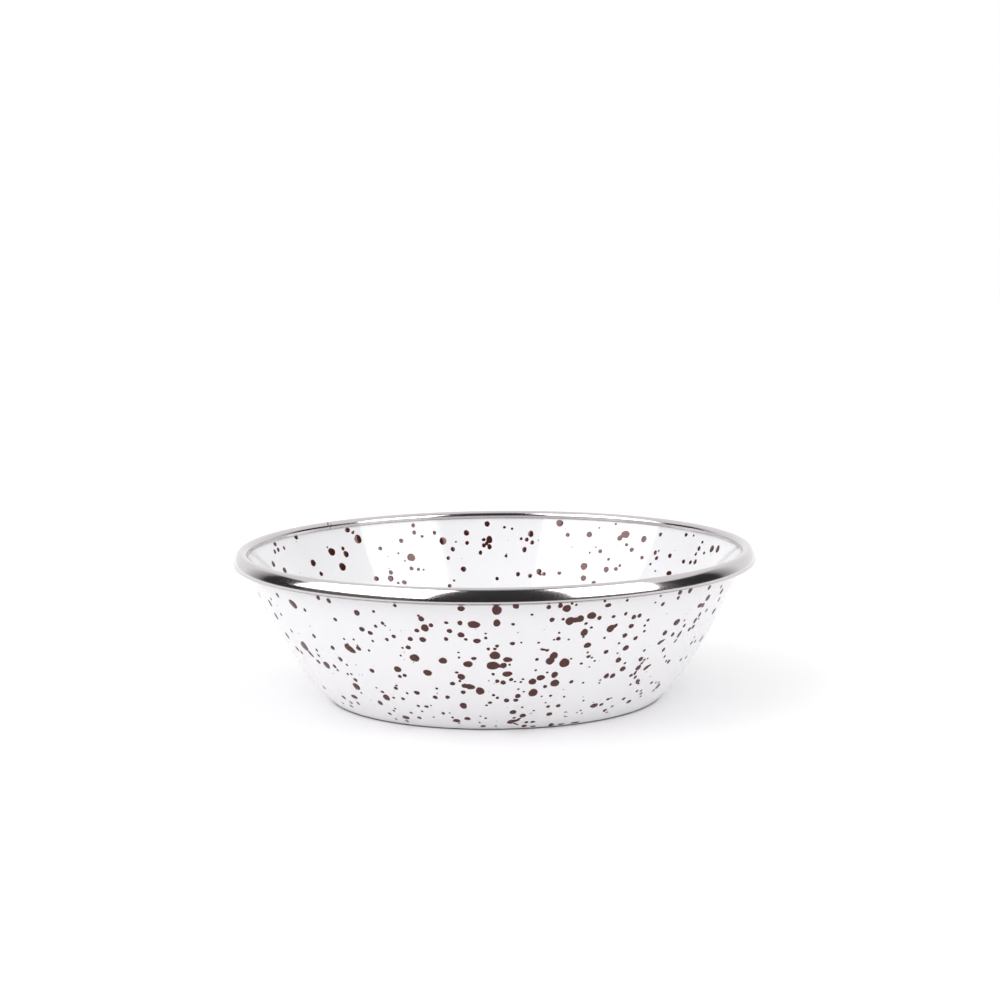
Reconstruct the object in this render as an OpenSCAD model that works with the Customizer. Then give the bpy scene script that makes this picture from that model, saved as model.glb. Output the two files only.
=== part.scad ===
// Enamelled steel basin bowl with a brown splatter and a rolled stainless rim.
// Millimetres, +Z up, standing on Z = 0 with its axis on Z. The front is towards -Y.

/* [Bowl] */
// Diameter over the rim band
rim_d = 161; // [140:1:180]
// Height from the table to the top of the rim band
bowl_h = 46.4; // [40:0.2:60]
// Diameter of the flat base
base_d = 100; // [84:1:110]
// Outer radius of the pressed corner round the base
base_corner_r = 2.5; // [1.6:0.1:4]
// How much flatter the wall starts at the base corner than its whole rise to the rim
heel_fall_angle = 13.8; // [10:0.2:16]
// Radius of the rounded lower wall
heel_r = 57; // [40:1:70]
// Radius of the long, slightly bowed upper wall
wall_r = 200; // [150:5:400]

/* [Base panel] */
// Width of the flat ring that the bowl stands on, between the panel's step and the corner
standing_ring_w = 7; // [4:0.5:12]
// Height of the raised panel above the standing ring
panel_rise = 0.8; // [0.3:0.1:1.5]
// Width of the soft step round the panel
panel_step_w = 5; // [3:0.5:6]

/* [Sheet and coats] */
// Thickness of the pressed steel sheet
steel_t = 0.5; // [0.4:0.05:0.7]
// Thickness of the dark ground coat on each side
ground_t = 0.1; // [0.06:0.01:0.15]
// Thickness of the white cover coat on each side
cover_t = 0.15; // [0.1:0.01:0.2]

/* [Rim] */
// Radius inside the fold of the turned-down lip
lip_bend_r = 0.3; // [0.2:0.05:0.6]
// Angle of the lip and of the band's side at their middle, down from level
lip_droop_angle = 69; // [60:1:75]
// Thickness of the stainless strip
band_t = 0.35; // [0.25:0.05:0.5]
// Length of the band's leg down the inside of the wall
band_leg = 1.2; // [0.8:0.1:2]
// Length of the band's bowed outer side
band_side = 3.3; // [2.6:0.1:3.4]
// Radius of the bowed outer side
side_r = 5.6; // [5:0.2:9]
// Outer radius of the band's hem under the lip
hem_r = 0.7; // [0.6:0.05:1]
// Fall of the hem's underside towards the wall
hem_fall_angle = 15; // [10:1:20]
// Gap between the lip's raw edge and the hem
lip_gap = 0.3; // [0.1:0.1:0.8]
// Gap between the hem's edge and the wall
hem_gap = 0.1; // [0.05:0.05:0.3]
// Place of the seam where the strip's ends meet, round from the front
seam_azimuth = 226; // [0:1:359]
// Width of the slit at the seam
seam_gap = 0.2; // [0.1:0.05:0.4]
// Width of the weld dot across the seam
weld_w = 1.7; // [0.8:0.1:2]
// Height of the weld dot above the band
weld_rise = 0.15; // [0.1:0.05:0.3]

/* [Splatter] */
// Diameter of the largest drop
drop_d = 3.2; // [2:0.1:3.6]
// Thickness of a drop
drop_t = 0.12; // [0.08:0.01:0.2]
// Drops round the back of the outside, in each row
back_columns = 14; // [8:1:16]
// Rows of drops on the back of the outside
back_rows = 5; // [3:1:6]
// Drops round the front of the inside, in each row
front_columns = 12; // [8:1:14]
// Rows of drops on the front of the inside
front_rows = 4; // [2:1:5]
// Drops on the floor of the bowl
floor_drops = 18; // [8:1:24]

/* [Hidden] */
$fn = 120;

// Diameter of the raised flat panel in the middle of the base
panel_d = base_d - 2 * (standing_ring_w + panel_step_w);

// Depths into the wall, counted from its outer face
outer_coats_t = cover_t + ground_t;
wall_t = outer_coats_t + steel_t + outer_coats_t;
band_face_t = wall_t + band_t;

// Steps in each round stretch of the section
step_count = 8;
corner_count = 8;
heel_count = 10;
wall_count = 12;
leg_count = 3;
crown_count = 16;
side_count = 6;
hem_count = 10;

// Unit vector square to the section at a slope, on the wall's outer side, and a vector's slope
function outward(a) = [sin(a), -cos(a)];
function slope_of(v) = atan2(v[0], -v[1]);
function reversed(list) = [for (i = [len(list) - 1 : -1 : 0]) list[i]];
function arc(centre, r, from, to, count) =
    [for (i = [0 : count]) centre + r * outward(from + (to - from) * i / count)];

// Where two circles meet, on the left of the line from the first centre to the second
function circles_meet(c1, r1, c2, r2) =
    let (d = norm(c2 - c1),
         u = (c2 - c1) / d,
         x = (d * d + r1 * r1 - r2 * r2) / (2 * d))
    c1 + u * x + [-u[1], u[0]] * sqrt(r1 * r1 - x * x);

// Slopes where the bowed side starts and ends, and where the lip's raw edge lies
lip_start = lip_droop_angle - band_side / side_r * 90 / PI;
lip_end = lip_droop_angle + band_side / side_r * 90 / PI;
lip_edge = lip_end - lip_gap / side_r * 180 / PI;

// Centres of the section's arcs: base corner, lower wall, fold of the lip, upper wall, side and hem
base_r = base_d / 2;
crown_r = lip_bend_r + band_face_t;
side_way = (side_r - crown_r) * outward(-lip_start);
hem_way = side_way - (side_r - hem_r) * outward(-lip_end);
corner_c = [base_r, base_corner_r];
fold_c = [rim_d / 2 - hem_r - hem_way[0], bowl_h - crown_r];
side_c = fold_c + side_way;
hem_c = fold_c + hem_way;
wall_rise = fold_c - corner_c;
heel_angle = atan2(wall_rise[1], wall_rise[0]) - heel_fall_angle;
heel_c = corner_c + (base_corner_r - heel_r) * outward(heel_angle);
wall_c = circles_meet(heel_c, wall_r - heel_r, fold_c, wall_r + lip_bend_r);
heel_end = slope_of(heel_c - wall_c);
wall_end = slope_of(fold_c - wall_c);
leg_start = wall_end - band_leg / (wall_r - band_face_t) * 180 / PI;

// Half of the base's section at a depth: raised panel, soft step and standing ring
function base_line(t) = concat([[0, panel_rise + t]],
    [for (i = [0 : step_count]) [panel_d / 2 + panel_step_w * i / step_count,
        t + panel_rise * (1 + cos(180 * i / step_count)) / 2]]);

// The fold at the rim and the bowed stretch after it, at a depth
function fold_line(t, end) = concat(
    arc(fold_c, -(lip_bend_r + t), wall_end, -lip_start, crown_count),
    arc(side_c, -(side_r - band_face_t + t), -lip_start, -end, side_count));

// The whole section from the axis to the lip's raw edge, at a depth
function wall_line(t) = concat(base_line(t),
    arc(corner_c, base_corner_r - t, 0, heel_angle, corner_count),
    arc(heel_c, heel_r - t, heel_angle, heel_end, heel_count),
    arc(wall_c, wall_r - t, heel_end, wall_end, wall_count),
    fold_line(t, lip_edge));

// Height, slope and radius of the wall's face at a depth
function join_z(t) = wall_c[1] - (wall_r - t) * cos(heel_end);
function face_slope(z, t) = z < join_z(t)
    ? acos((heel_c[1] - z) / (heel_r - t))
    : acos((wall_c[1] - z) / (wall_r - t));
function face_radius(z, t) = z < join_z(t)
    ? heel_c[0] + (heel_r - t) * sin(face_slope(z, t))
    : wall_c[0] + (wall_r - t) * sin(face_slope(z, t));

// One closed layer of the wall between two depths
module layer(from, to) {
    rotate_extrude() polygon(concat(wall_line(from), reversed(wall_line(to))));
}

module steel_shell() {
    color("dimgray") layer(outer_coats_t, outer_coats_t + steel_t);
}

module ground_coat_inside() {
    color("#20242e") layer(outer_coats_t + steel_t, wall_t - cover_t);
}

module ground_coat_outside() {
    color("#20242e") layer(cover_t, outer_coats_t);
}

module white_coat_inside() {
    color("#f5f5f4") layer(wall_t - cover_t, wall_t);
}

module white_coat_outside() {
    color("#f5f5f4") layer(0, cover_t);
}

// Height of the hem's underside at a radius, along its seat or along its bright face
function under_z(t, r) =
    let (start = hem_c - (hem_r - band_face_t + t) * outward(hem_fall_angle - 180))
    start[1] - (start[0] - r) * tan(hem_fall_angle);
hem_end_r = face_radius(under_z(wall_t, face_radius(hem_c[1] - hem_r, 0)), 0) + hem_gap;

// The band's section: leg, fold, side and hem, along its seat on the coat or along its bright face
function band_line(t) = concat(
    arc(wall_c, wall_r - t, leg_start, wall_end, leg_count),
    fold_line(t, lip_end),
    arc(hem_c, -(hem_r - band_face_t + t), -lip_end, hem_fall_angle - 180, hem_count),
    [[hem_end_r, under_z(t, hem_end_r)]]);

module rim_band() {
    seam_angle = seam_gap / fold_c[0] * 180 / PI;
    color("silver")
        rotate([0, 0, seam_azimuth - 90 + seam_angle / 2])
            rotate_extrude(angle = 360 - seam_angle)
                polygon(concat(band_line(wall_t), reversed(band_line(band_face_t))));
}

// The dot lies on the band's inner shoulder, curved with it
weld_from_share = 0.95;
weld_to_share = 0.2;
module rim_weld() {
    weld_angle = weld_w / fold_c[0] * 180 / PI;
    from = wall_end * weld_from_share;
    to = wall_end * weld_to_share;
    color("gainsboro")
        rotate([0, 0, seam_azimuth - 90 - weld_angle / 2])
            rotate_extrude(angle = weld_angle)
                polygon(concat(arc(fold_c, -crown_r, from, to, step_count),
                    reversed(arc(fold_c, -(crown_r + weld_rise), from, to, step_count))));
}

// A repeatable number from 0 to 1 for a drop and a use
scatter_angle = 12.9898;
scatter_use_angle = 78.233;
scatter_ratio = 43758.5453;
function scatter(i, use) =
    let (v = sin(i * scatter_angle + use * scatter_use_angle) * scatter_ratio) v - floor(v);

// Drops placed by eye: azimuth from the front, height as a share of bowl_h, size as a share of drop_d
outside_drop_shares = [
    [-56.5, 0.46, 0.8], [-52, 0.79, 0.8], [-50, 0.38, 0.75], [-41.5, 0.26, 0.75], [-37.5, 0.54, 0.8],
    [-33, 0.4, 0.5], [-32, 0.21, 0.65], [-31.5, 0.8, 0.6], [-31.5, 0.7, 0.5], [-29.5, 0.66, 0.45],
    [-29, 0.07, 0.5], [-25, 0.43, 0.65], [-21.5, 0.27, 0.5], [-20.5, 0.59, 0.5], [-20, 0.65, 0.45],
    [-19.5, 0.52, 0.85], [-17, 0.42, 0.75], [-16.5, 0.65, 0.55], [-16, 0.79, 0.5], [-15.5, 0.73, 0.7],
    [-12.5, 0.51, 0.7], [-12, 0.07, 0.5], [-9, 0.19, 0.65], [-8.5, 0.4, 0.7], [-7.5, 0.69, 0.6],
    [-7, 0.85, 0.6], [-7, 0.33, 0.85], [-6.5, 0.49, 0.75], [-4.5, 0.76, 0.95], [-4, 0.65, 0.6],
    [-4, 0.3, 0.8], [-0.5, 0.48, 1], [0, 0.55, 0.9], [0.5, 0.85, 0.85], [0.5, 0.77, 0.65],
    [3, 0.52, 0.7], [3, 0.42, 0.75], [5, 0.14, 0.5], [6, 0.26, 0.5], [9.5, 0.35, 0.6],
    [10, 0.28, 0.8], [11.5, 0.39, 0.6], [13.5, 0.52, 0.95], [15, 0.4, 0.6], [15.5, 0.85, 0.75],
    [15.5, 0.34, 0.75], [17, 0.77, 0.8], [17.5, 0.48, 0.9], [20.5, 0.68, 0.7], [21.5, 0.79, 0.75],
    [22, 0.59, 0.65], [25, 0.85, 0.5], [27, 0.69, 0.75], [30, 0.14, 0.6], [32, 0.46, 0.55],
    [32.5, 0.69, 0.5], [33, 0.54, 0.6], [34.5, 0.39, 0.55], [40, 0.37, 0.65], [44.5, 0.54, 0.55],
    [47.5, 0.66, 0.65], [51, 0.55, 0.6], [55, 0.73, 0.5], [57.5, 0.78, 0.6], [66.5, 0.65, 0.6]];
inside_drop_shares = [
    [-178.5, 0.8, 0.7], [-178.5, 0.74, 0.5], [-178, 0.9, 0.6], [-172.5, 0.85, 0.6], [-171, 0.6, 0.6],
    [-168.5, 0.74, 0.5], [-166, 0.8, 0.8], [-156.5, 0.7, 0.85], [-154.5, 0.82, 0.5], [-149, 0.57, 0.6],
    [-144.5, 0.58, 0.5], [-142, 0.86, 0.85], [-139.5, 0.91, 0.5], [-137, 0.77, 0.6], [-134.5, 0.69, 0.75],
    [-132.5, 0.8, 0.75], [-124.5, 0.75, 0.6], [108, 0.88, 0.6], [111, 0.87, 0.6], [125.5, 0.65, 0.55],
    [138, 0.85, 0.6], [144, 0.87, 0.85], [146, 0.83, 0.5], [147.5, 0.62, 0.6], [154, 0.55, 0.6],
    [154.5, 0.85, 0.6], [154.5, 0.63, 0.75], [163, 0.9, 0.75], [167.5, 0.58, 0.6], [170.5, 0.84, 0.65],
    [172, 0.73, 0.55], [173.5, 0.56, 0.5]];

// Scattered drops fill the other side: the sector and heights they cover, and how far they stray
back_sector_angles = [80, 290];
back_height_shares = [0.1, 0.84];
front_sector_angles = [-102, 104];
front_height_shares = [0.14, 0.88];
stray_share = 0.6;
least_drop_share = 0.3;
golden_angle = 137.508;

function scattered_size(i) = least_drop_share + (1 - least_drop_share) * pow(scatter(i, 3), 2);

// A thin round drop lying on the outer or the inner face of the wall
module wall_drop(azimuth, height_share, size_share, depth) {
    inside = depth > 0;
    z = height_share * bowl_h;
    a = face_slope(z, depth);
    r = face_radius(z, depth);
    d = size_share * drop_d;
    hollow = inside ? max(sin(a) / r, 1 / (heel_r - depth)) * d * d / 8 : 0;
    rotate([0, 0, azimuth - 90])
        translate([r, 0, z])
            rotate([0, inside ? -a : 180 - a, 0])
                translate([0, 0, hollow]) cylinder(d = d, h = drop_t);
}

module scattered_drops(sector, height_shares, columns, rows, depth) {
    for (row = [0 : rows - 1], column = [0 : columns - 1]) {
        i = row * columns + column + 1;
        azimuth = sector[0] + (sector[1] - sector[0])
            * (column + 0.5 + stray_share * (scatter(i, 1) - 0.5)) / columns;
        height_share = height_shares[0] + (height_shares[1] - height_shares[0])
            * (row + 0.5 + stray_share * (scatter(i, 2) - 0.5)) / rows;
        wall_drop(azimuth, height_share, scattered_size(i), depth);
    }
}

module brown_drops_outside() {
    color("#4b322f") {
        for (drop = outside_drop_shares) wall_drop(drop[0], drop[1], drop[2], 0);
        scattered_drops(back_sector_angles, back_height_shares, back_columns, back_rows, 0);
    }
}

module brown_drops_inside() {
    color("#4b322f") {
        for (drop = inside_drop_shares) wall_drop(drop[0], drop[1], drop[2], wall_t);
        scattered_drops(front_sector_angles, front_height_shares, front_columns, front_rows, wall_t);
        for (i = [1 : floor_drops])
            rotate([0, 0, i * golden_angle])
                translate([(panel_d - drop_d) / 2 * sqrt((i - 0.5) / floor_drops), 0, panel_rise + wall_t])
                    cylinder(d = scattered_size(i) * drop_d, h = drop_t);
    }
}

steel_shell();
ground_coat_inside();
ground_coat_outside();
white_coat_inside();
white_coat_outside();
brown_drops_inside();
brown_drops_outside();
rim_band();
rim_weld();
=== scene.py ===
import bpy
import numpy as np
from mathutils import Matrix, Vector


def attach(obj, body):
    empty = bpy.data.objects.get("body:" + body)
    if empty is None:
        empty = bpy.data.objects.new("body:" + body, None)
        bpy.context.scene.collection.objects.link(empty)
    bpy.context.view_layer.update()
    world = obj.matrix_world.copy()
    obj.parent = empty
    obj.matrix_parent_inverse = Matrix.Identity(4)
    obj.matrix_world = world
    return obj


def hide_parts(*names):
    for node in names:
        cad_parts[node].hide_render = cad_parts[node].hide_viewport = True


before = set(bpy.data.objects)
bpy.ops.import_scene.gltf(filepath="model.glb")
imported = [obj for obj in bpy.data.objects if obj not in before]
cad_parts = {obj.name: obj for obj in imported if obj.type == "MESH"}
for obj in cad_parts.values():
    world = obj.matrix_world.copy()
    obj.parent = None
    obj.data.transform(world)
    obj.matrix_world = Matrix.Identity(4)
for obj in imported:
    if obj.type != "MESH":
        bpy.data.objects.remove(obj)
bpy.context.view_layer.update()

# The shell: one blank of thin mild steel, drawn into a bowl, its edge turned down at the rim.
# The coats close it in on both sides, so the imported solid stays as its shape.
MM = 0.001


def linear(hex_colour):
    """sRGB hex to linear RGBA: a dark channel over 12.92, else ((c + 0.055) / 1.055) to the 2.4."""
    srgb = np.array([int(hex_colour[i:i + 2], 16) for i in (0, 2, 4)]) / 255
    rgb = np.where(srgb <= 0.04045, srgb / 12.92, ((srgb + 0.055) / 1.055) ** 2.4)
    return (*rgb.tolist(), 1.0)


def join(tree, node, links):
    """Joins other nodes' outputs to a node's input sockets of those names or numbers."""
    for name, output in links.items():
        tree.links.new(output, node.inputs[name])


def add_node(tree, kind, settings=None, links=None):
    """One node. A setting goes to the node's property of that name, or else to its input socket."""
    node = tree.nodes.new(kind)
    for name, value in (settings or {}).items():
        if isinstance(name, str) and hasattr(node, name):
            setattr(node, name, value)
        else:
            node.inputs[name].default_value = value
    join(tree, node, links or {})
    return node


def new_material(name, settings):
    """A material with its node tree and its Principled shader, whose sockets take the settings."""
    material = bpy.data.materials.new(name)
    material.use_nodes = True
    shader = material.node_tree.nodes["Principled BSDF"]
    for socket, value in settings.items():
        shader.inputs[socket].default_value = value
    return material, material.node_tree, shader


def finish_node(node_name, material):
    """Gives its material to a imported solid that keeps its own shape."""
    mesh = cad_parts[node_name].data
    mesh.materials.clear()
    mesh.materials.append(material)


# Cold-rolled mild steel: a dull grey with the fine cloudy grain of a pickled sheet
PICKLE_GRAIN_MM = 1.5
pressed_steel, tree, shader = new_material("cold_rolled_mild_steel", {"Metallic": 1.0})
place = add_node(tree, "ShaderNodeTexCoord")
grain = add_node(tree, "ShaderNodeTexNoise", {"Scale": 1 / (PICKLE_GRAIN_MM * MM), "Detail": 4.0},
                 {"Vector": place.outputs["Object"]})
grey = add_node(tree, "ShaderNodeMix", {"data_type": "RGBA", 6: linear("8C8D8F"), 7: linear("A3A3A4")},
                {"Factor": grain.outputs["Fac"]})
dull = add_node(tree, "ShaderNodeMapRange", {"To Min": 0.38, "To Max": 0.52},
                {"Value": grain.outputs["Fac"]})
join(tree, shader, {"Base Color": grey.outputs[2], "Roughness": dull.outputs["Result"]})
finish_node("steel_shell", pressed_steel)

# The ground coats: a thin first glaze fired straight onto the steel inside and out, dark with
# the cobalt that makes it grip. The white coats hide them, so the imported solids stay.
ENAMEL_IOR = 1.45

# Cobalt ground enamel: blue-black glass, a little mottled where it took up iron
MOTTLE_MM = 3.0
ground_enamel, tree, shader = new_material("cobalt_ground_enamel", {"IOR": ENAMEL_IOR, "Roughness": 0.2})
place = add_node(tree, "ShaderNodeTexCoord")
mottle = add_node(tree, "ShaderNodeTexNoise", {"Scale": 1 / (MOTTLE_MM * MM), "Detail": 3.0},
                  {"Vector": place.outputs["Object"]})
blue_black = add_node(tree, "ShaderNodeMix",
                      {"data_type": "RGBA", 6: linear("1B1F2A"), 7: linear("2B2C35")},
                      {"Factor": mottle.outputs["Fac"]})
join(tree, shader, {"Base Color": blue_black.outputs[2]})
finish_node("ground_coat_inside", ground_enamel)
finish_node("ground_coat_outside", ground_enamel)

# The white coats: a glassy cover enamel, sprayed and fired over the ground coats inside and out.
# Each follows the pressed section from the middle of the base to the raw edge under the rim band.
# Sizes of the section in millimetres and angles in degrees, as the solids have them
RIM_D = 161.0
BOWL_H = 46.4
BASE_D = 100.0
BASE_CORNER_R = 2.5
HEEL_FALL_ANGLE = 13.8
HEEL_R = 57.0
WALL_R = 200.0
STANDING_RING_W = 7.0
PANEL_STEP_W = 5.0
PANEL_RISE = 0.8
COVER_T = 0.15
WALL_T = 1.0
LIP_BEND_R = 0.3
LIP_DROOP_ANGLE = 69.0
BAND_T = 0.35
BAND_SIDE = 3.3
SIDE_R = 5.6
HEM_R = 0.7
LIP_GAP = 0.3
PANEL_D = BASE_D - 2 * (STANDING_RING_W + PANEL_STEP_W)
BAND_FACE_T = WALL_T + BAND_T
CROWN_R = LIP_BEND_R + BAND_FACE_T
# Segments round the axis, steps along each stretch of the section, and the step at the standing ring
ROUND_SEGMENTS = 288
PANEL_STEPS = 5
PANEL_FALL_STEPS = 12
CORNER_STEPS = 10
HEEL_STEPS = 20
WALL_STEPS = 26
FOLD_STEPS = 14
LIP_STEPS = 5
RING_START = PANEL_STEPS + PANEL_FALL_STEPS


def outward(slope):
    """Unit vector square to the section at a slope in degrees, on the bowl's outer side: (sin, -cos)."""
    return np.stack((np.sin(np.radians(slope)), -np.cos(np.radians(slope))), axis=-1)


def slope_of(vector):
    """The slope whose outward vector points along this one."""
    return np.degrees(np.arctan2(vector[0], -vector[1]))


def circles_meet(centre_1, r_1, centre_2, r_2):
    """Where two circles meet, left of the line between their centres, by the cosine rule."""
    apart = np.linalg.norm(centre_2 - centre_1)
    ahead = (centre_2 - centre_1) / apart
    x = (apart ** 2 + r_1 ** 2 - r_2 ** 2) / (2 * apart)
    return centre_1 + ahead * x + np.array((-ahead[1], ahead[0])) * np.sqrt(r_1 ** 2 - x ** 2)


lip_start = LIP_DROOP_ANGLE - np.degrees(BAND_SIDE / SIDE_R) / 2
lip_end = LIP_DROOP_ANGLE + np.degrees(BAND_SIDE / SIDE_R) / 2
lip_edge = lip_end - np.degrees(LIP_GAP / SIDE_R)
side_way = (SIDE_R - CROWN_R) * outward(-lip_start)
hem_way = side_way - (SIDE_R - HEM_R) * outward(-lip_end)
corner_c = np.array((BASE_D / 2, BASE_CORNER_R))
fold_c = np.array((RIM_D / 2 - HEM_R - hem_way[0], BOWL_H - CROWN_R))
side_c = fold_c + side_way
hem_c = fold_c + hem_way
wall_rise = fold_c - corner_c
heel_angle = np.degrees(np.arctan2(wall_rise[1], wall_rise[0])) - HEEL_FALL_ANGLE
heel_c = corner_c + (BASE_CORNER_R - HEEL_R) * outward(heel_angle)
wall_c = circles_meet(heel_c, WALL_R - HEEL_R, fold_c, WALL_R + LIP_BEND_R)
heel_end = slope_of(heel_c - wall_c)
wall_end = slope_of(fold_c - wall_c)


def arc(centre, radius, start, end, count):
    """An arc of the section: its centre plus the radius along the outward vector, slope by slope."""
    return centre + radius * outward(np.linspace(start, end, count + 1))


def wall_line(depth):
    """The half section at a depth below the outer face: flat panel, a step that falls by half a
    cosine, standing ring, then tangent arcs for corner, heel, wall, fold and bowed lip."""
    share = np.linspace(0, 1, PANEL_FALL_STEPS + 1)
    panel = np.linspace((0, PANEL_RISE + depth), (PANEL_D / 2, PANEL_RISE + depth), PANEL_STEPS + 1)[:-1]
    step = np.column_stack((PANEL_D / 2 + PANEL_STEP_W * share,
                            depth + PANEL_RISE * (1 + np.cos(np.pi * share)) / 2))
    corner = arc(corner_c, BASE_CORNER_R - depth, 0, heel_angle, CORNER_STEPS)
    heel = arc(heel_c, HEEL_R - depth, heel_angle, heel_end, HEEL_STEPS)[1:]
    wall = arc(wall_c, WALL_R - depth, heel_end, wall_end, WALL_STEPS)[1:]
    fold = arc(fold_c, -(LIP_BEND_R + depth), wall_end, -lip_start, FOLD_STEPS)[1:]
    lip = arc(side_c, -(SIDE_R - BAND_FACE_T + depth), -lip_start, -lip_edge, LIP_STEPS)[1:]
    return np.vstack((panel, step, corner, heel, wall, fold, lip))


def grid_quads(rows, columns):
    """Quads of a grid numbered row by row, with the last column joined to the first."""
    index = np.arange(rows * columns).reshape(rows, columns)
    beside = np.roll(index, -1, axis=1)
    return np.stack((index[:-1], beside[:-1], beside[1:], index[1:]), axis=-1).reshape(-1, 4)


def turned(radius, height, azimuth):
    """Points round the axis: azimuth in degrees from the front, which is -Y, towards +X."""
    turn = np.radians(azimuth)
    radius, height, turn = np.broadcast_arrays(radius, height, turn)
    return np.stack((radius * np.sin(turn), -radius * np.cos(turn), height), axis=-1)


def closed_piece(name, points, quads, triangles, material):
    """A smooth closed mesh from points in millimetres. The tetrahedra from the origin to its
    triangles add up to its volume, and if that is negative the faces are turned outwards."""
    corners = np.vstack((quads[:, :3], quads[:, [0, 2, 3]], triangles))
    a, b, c = points[corners[:, 0]], points[corners[:, 1]], points[corners[:, 2]]
    if np.sum(a * np.cross(b, c)) < 0:
        quads, triangles = quads[:, ::-1], triangles[:, ::-1]
    mesh = bpy.data.meshes.new(name)
    mesh.from_pydata((points * MM).tolist(), [], quads.tolist() + triangles.tolist())
    mesh.shade_smooth()
    mesh.materials.append(material)
    piece = bpy.data.objects.new(name, mesh)
    bpy.context.scene.collection.objects.link(piece)
    return piece


def ringed_faces(points):
    """Closed forms given as (form, ring, corner) points: quads between the rings, and a fan of triangles
    round the middle of the first ring and of the last. Returns points, quads and triangles."""
    forms, rings, corners, _ = points.shape
    base = np.arange(forms)[:, None, None] * (rings * corners + 2)
    quads = (base + grid_quads(rings, corners)).reshape(-1, 4)
    corner = np.arange(corners)
    beside = np.roll(corner, -1)
    last = (rings - 1) * corners
    first_fan = np.column_stack((np.full(corners, rings * corners), beside, corner))
    last_fan = np.column_stack((np.full(corners, rings * corners + 1), last + corner, last + beside))
    triangles = (base + np.vstack((first_fan, last_fan))).reshape(-1, 3)
    middles = points[:, [0, -1]].mean(axis=2)
    return np.concatenate((points.reshape(forms, -1, 3), middles), axis=1).reshape(-1, 3), quads, triangles


def coat(name, outer_depth, inner_depth, material):
    """One coat, turned round the axis: out along the section at one depth and back at the other. The
    panel is level, so the fans at both ends of that line close it flat."""
    line = np.vstack((wall_line(outer_depth)[1:], wall_line(inner_depth)[:0:-1]))
    azimuth = np.arange(ROUND_SEGMENTS) * 360 / ROUND_SEGMENTS
    return closed_piece(name, *ringed_faces(turned(line[:, :1], line[:, 1:], azimuth)[None]), material)


# White vitreous enamel: a bright, glassy white. Its skin is not quite level, so reflections
# waver a little, and the white clouds very slightly where the coat is thinner.
CLOUD_MM = 30.0
RIPPLE_MM = 7.0
RIPPLE_DEPTH_MM = 0.012
PEEL_MM = 1.6
PEEL_DEPTH_MM = 0.0012
white_enamel, tree, shader = new_material("white_vitreous_enamel", {"IOR": ENAMEL_IOR})
place = add_node(tree, "ShaderNodeTexCoord")
cloud = add_node(tree, "ShaderNodeTexNoise", {"Scale": 1 / (CLOUD_MM * MM)},
                 {"Vector": place.outputs["Object"]})
white = add_node(tree, "ShaderNodeMix", {"data_type": "RGBA", 6: linear("F5F4F5"), 7: linear("EFEFF2")},
                 {"Factor": cloud.outputs["Fac"]})
gloss = add_node(tree, "ShaderNodeMapRange", {"To Min": 0.05, "To Max": 0.1},
                 {"Value": cloud.outputs["Fac"]})
ripple = add_node(tree, "ShaderNodeTexNoise", {"Scale": 1 / (RIPPLE_MM * MM), "Detail": 1.0},
                  {"Vector": place.outputs["Object"]})
ripple_bump = add_node(tree, "ShaderNodeBump", {"Distance": RIPPLE_DEPTH_MM * MM},
                       {"Height": ripple.outputs["Fac"]})
peel = add_node(tree, "ShaderNodeTexNoise", {"Scale": 1 / (PEEL_MM * MM), "Detail": 1.0},
                {"Vector": place.outputs["Object"]})
peel_bump = add_node(tree, "ShaderNodeBump", {"Distance": PEEL_DEPTH_MM * MM},
                     {"Height": peel.outputs["Fac"], "Normal": ripple_bump.outputs["Normal"]})
join(tree, shader, {"Base Color": white.outputs[2], "Roughness": gloss.outputs["Result"],
                    "Normal": peel_bump.outputs["Normal"]})

white_outside = coat("white_enamel_outside", 0, COVER_T, white_enamel)
white_inside = coat("white_enamel_inside", WALL_T - COVER_T, WALL_T, white_enamel)
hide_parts("white_coat_outside")
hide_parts("white_coat_inside")
for piece in (white_outside, white_inside):
    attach(piece, "root")

# The splatter: brown enamel flicked over the white by hand before the last firing, outside and in.
# It melts into low round drops that stand a little proud, with some run together or drawn out.
DROP_D = 3.2
DROP_T = 0.12
SINK_T = 0.02
SCATTER_ANGLE = 12.9898
SCATTER_USE_ANGLE = 78.233
SCATTER_RATIO = 43758.5453
STRAY_SHARE = 0.6
LEAST_DROP_SHARE = 0.3
FULL_DROP_D = 2.0
LEAST_T_SHARE = 0.35
FINE_WAVE_SHARE = 0.6
DROP_COLUMNS = 6
SPECK_DRAWS = 6
GOLDEN_ANGLE = 137.508
SMALL_GROWTH = 1.3
FLOOR_DROPS = 18
# A drop's height over its width, least and most: small ones, larger scattered ones and fine specks
SMALL_TALLNESS = (0.8, 1.1)
SCATTERED_TALLNESS = (0.9, 1.15)
SPECK_TALLNESS = (0.8, 1.2)

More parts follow.
